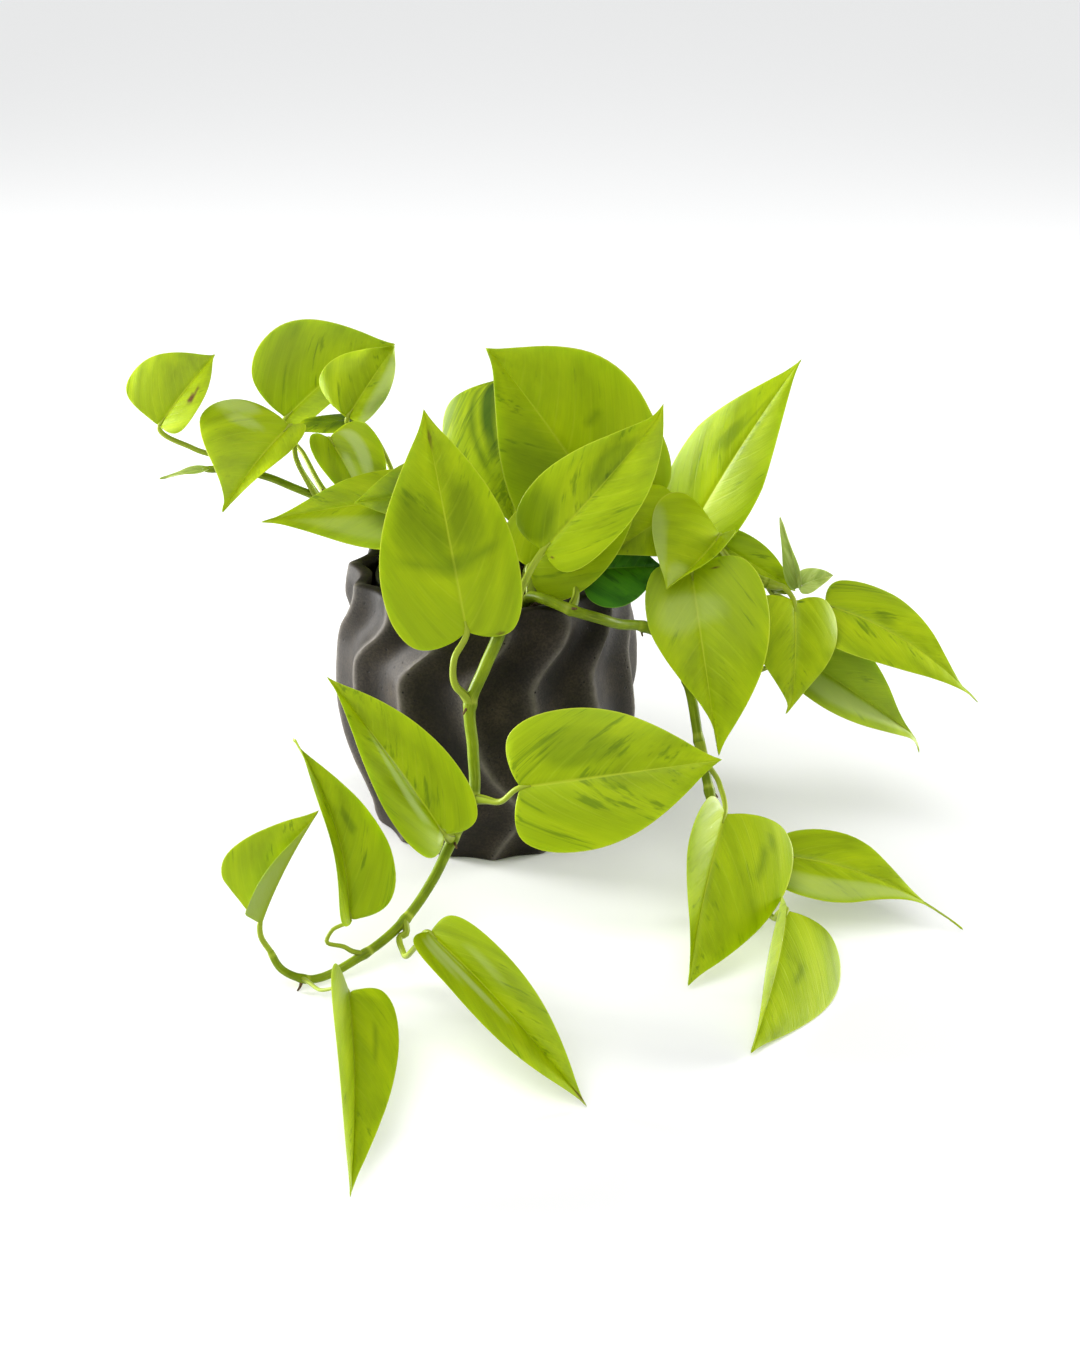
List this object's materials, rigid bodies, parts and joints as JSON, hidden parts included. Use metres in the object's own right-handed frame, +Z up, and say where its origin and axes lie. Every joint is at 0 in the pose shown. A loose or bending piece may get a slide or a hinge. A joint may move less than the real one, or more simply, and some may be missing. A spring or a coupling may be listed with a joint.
{
  "type": "potted trailing houseplant",
  "caption": "Trailing lime-green vine plant with heart-shaped leaves in a fluted, waisted concrete planter with a plastic liner and soil.",
  "frame": {"origin": "centre of the planter's foot, on the surface it stands on", "axes": "+Z up along the planter's centre line; -Y towards the side over which the long front vine hangs; +X to the right of that side"},
  "size_m": [0.3551, 0.3764, 0.2072],
  "materials": {
    "concrete": null,
    "liner": "black moulded nursery liner, satin",
    "soil": null,
    "stem": null,
    "leaf": null,
    "young_leaf": "pale rolled young leaf",
    "old_leaf": "dark green older leaf"
  },
  "bodies": {
    "root": {"planter": "concrete", "liner": "liner", "soil": "soil", "vine_front": "stem", "vine_right_low": "stem", "vine_right_high": "stem", "vine_left": "stem", "stem_crown_left": "stem", "stem_crown_right": "stem", "leaf_left_1": "leaf", "leaf_left_2": "leaf", "leaf_left_3": "leaf", "leaf_left_4": "leaf", "leaf_left_5": "leaf", "leaf_left_6": "leaf", "leaf_left_bud": "young_leaf", "leaf_crown_1": "leaf", "leaf_crown_2": "leaf", "leaf_crown_3": "leaf", "leaf_crown_4": "leaf", "leaf_crown_5": "leaf", "leaf_crown_6": "leaf", "leaf_crown_7": "leaf", "leaf_crown_8": "old_leaf", "leaf_front_1": "leaf", "leaf_front_2": "leaf", "leaf_front_3": "leaf", "leaf_front_4": "leaf", "leaf_front_5": "leaf", "leaf_front_6": "leaf", "leaf_front_7": "leaf", "leaf_right_1": "leaf", "leaf_right_2": "leaf", "leaf_right_3": "leaf", "leaf_right_4": "leaf", "leaf_right_5": "leaf", "leaf_right_6": "leaf", "leaf_right_7": "leaf", "leaf_right_bud_1": "young_leaf", "leaf_right_bud_2": "young_leaf", "leaf_low_1": "leaf", "leaf_low_2": "leaf", "leaf_low_3": "leaf", "leaf_back_1": "leaf", "leaf_back_2": "leaf", "leaf_back_3": "leaf", "leaf_back_4": "leaf"}
  },
  "joints": []
}
